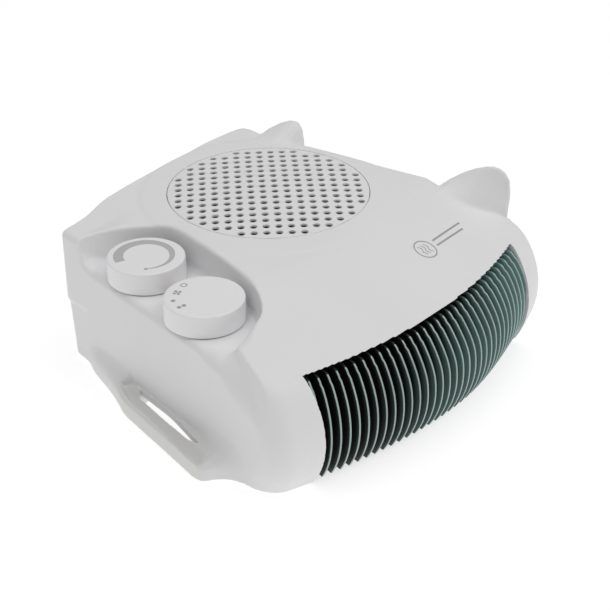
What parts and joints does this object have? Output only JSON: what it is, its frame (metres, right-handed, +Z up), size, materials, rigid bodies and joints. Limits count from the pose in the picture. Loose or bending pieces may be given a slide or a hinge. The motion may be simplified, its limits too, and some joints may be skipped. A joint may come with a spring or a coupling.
{
  "type": "ceramic fan heater",
  "caption": "Flat fan heater with a bowed slatted outlet, a round top intake, knobs in a corner recess and a side carry loop; stands flat or on its side.",
  "frame": {"origin": "middle of the bottom of the whole object, on the floor it stands on", "axes": "+Z up, -Y towards the warm-air outlet, +X towards the wall that carries the two stand ears"},
  "size_m": [0.2569, 0.236, 0.1004],
  "materials": {
    "shell_white": "fine satin",
    "grille_green": "satin",
    "knob_white": "satin gloss",
    "spindle_metal": "zinc plated",
    "brown_resin": "matt",
    "black_plastic": "matt",
    "lamp_red": "clear",
    "fan_black": "satin",
    "motor_steel": "plated",
    "copper": "enamelled",
    "bronze": "sintered",
    "duct_steel": "plated sheet",
    "heat_frame": "matt",
    "ceramic": "matt",
    "aluminium": "rolled",
    "rubber": "matt",
    "brass": "plain"
  },
  "bodies": {
    "shell": {"top_housing": "shell_white", "bottom_housing": "shell_white", "intake_grille": "shell_white", "outlet_grille": "grille_green", "thermostat_body": "brown_resin", "selector_switch": "black_plastic", "spindle_nuts": "spindle_metal", "pilot_lamp_lens": "lamp_red", "pilot_lamp_holder": "black_plastic", "motor_stator": "copper", "motor_case": "motor_steel", "motor_bearings": "bronze", "motor_bracket": "duct_steel", "motor_screws": "spindle_metal", "air_duct": "duct_steel", "heater_frame": "heat_frame", "ceramic_bars": "ceramic", "electrode_strips": "aluminium", "heater_fins": "aluminium", "thermal_cutout": "black_plastic", "cutout_screws": "spindle_metal", "terminal_block": "heat_frame", "terminal_screws": "brass", "cord_bushing": "rubber", "rubber_feet": "rubber", "housing_screws": "spindle_metal"},
    "thermostat_control": {"thermostat_knob": "knob_white", "thermostat_spindle": "spindle_metal"},
    "selector_control": {"selector_knob": "knob_white", "selector_spindle": "spindle_metal"},
    "fan_rotor": {"fan_impeller": "fan_black", "motor_shaft": "spindle_metal", "motor_rotor": "motor_steel"}
  },
  "joints": [
    {"name": "thermostat_turn", "type": "hinge", "parent": "shell", "child": "thermostat_control", "pos_m": [-0.07361, 0.04218, 0.07], "axis": [0, 0, 1], "range_deg": [0, 285]},
    {"name": "selector_turn", "type": "hinge", "parent": "shell", "child": "selector_control", "pos_m": [-0.08441, -0.01462, 0.07], "axis": [0, 0, 1], "range_deg": [0, 90]},
    {"name": "fan_spin", "type": "hinge", "parent": "shell", "child": "fan_rotor", "pos_m": [0.02374, 0.03658, 0.05], "axis": [0, 0, 1], "continuous": true}
  ]
}
